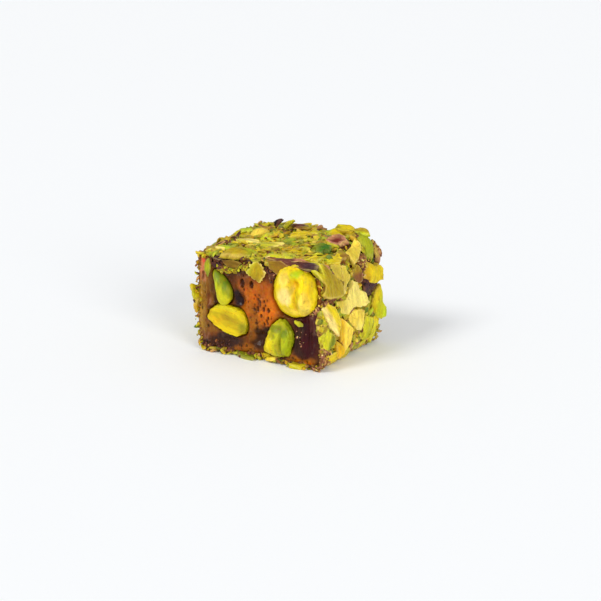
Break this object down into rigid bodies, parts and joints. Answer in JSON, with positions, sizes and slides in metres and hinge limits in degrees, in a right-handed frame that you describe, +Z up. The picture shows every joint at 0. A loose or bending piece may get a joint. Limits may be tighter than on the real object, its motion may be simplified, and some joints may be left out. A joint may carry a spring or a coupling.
{
  "type": "turkish delight",
  "caption": "Cut piece of dark fruit jelly with pistachio kernels showing on its cut faces and slivered pistachio pressed on its other sides.",
  "frame": {"origin": "centre of the bounding box's underside, where the piece rests", "axes": "+Z up; the knife-cut faces look along -Y and +Y, the nut-coated sides along +X, -X, +Z and -Z; -Y is the front"},
  "size_m": [0.0442, 0.0362, 0.0309],
  "materials": {
    "fruit_jelly": "soft translucent brown and orange jelly, glossy where the knife cut it",
    "nut_yellow": "satin yellow nut flesh",
    "nut_pale": "satin pale yellow nut flesh",
    "nut_lime": "satin yellow-green nut flesh",
    "nut_green": "satin green nut flesh",
    "nut_skin": "thin papery purple-brown nut skin"
  },
  "bodies": {
    "root": {"jelly_with_nut_coating": "fruit_jelly", "kernel_whole_front": "nut_yellow", "kernel_sliced_front": "nut_yellow", "kernel_green_front": "nut_green", "kernel_broken_front": "nut_lime", "kernel_whole_back": "nut_yellow", "kernel_sliced_back": "nut_yellow", "kernel_green_back": "nut_green", "kernel_broken_back": "nut_lime", "sliver_olive_top": "nut_green", "flake_lime_top": "nut_lime", "half_purple_top": "nut_skin", "chunk_green_top": "nut_green", "sliver_lime_top": "nut_lime", "sliver_yellow_top": "nut_yellow", "sliver_green_corner": "nut_green", "flake_green_right": "nut_green", "flake_pale_right": "nut_pale", "sliver_pale_right": "nut_pale", "flake_pale_low_right": "nut_pale", "sliver_gold_right": "nut_yellow", "chunk_green_right": "nut_green", "sliver_edge_right": "nut_yellow", "chunk_yellow_right": "nut_yellow", "flake_pale_left": "nut_pale", "sliver_green_left": "nut_green", "sliver_pale_left": "nut_pale", "chunk_lime_left": "nut_lime", "flake_lime_middle_top": "nut_lime", "flake_yellow_top": "nut_yellow", "sliver_yellow_left_top": "nut_yellow", "sliver_lime_corner": "nut_lime", "flake_yellow_corner": "nut_yellow", "shaving_olive_right": "nut_green", "shaving_pale_right": "nut_pale", "shaving_brown_right": "nut_skin", "bit_gold_right": "nut_yellow", "chunk_green_low_right": "nut_green"}
  },
  "joints": []
}
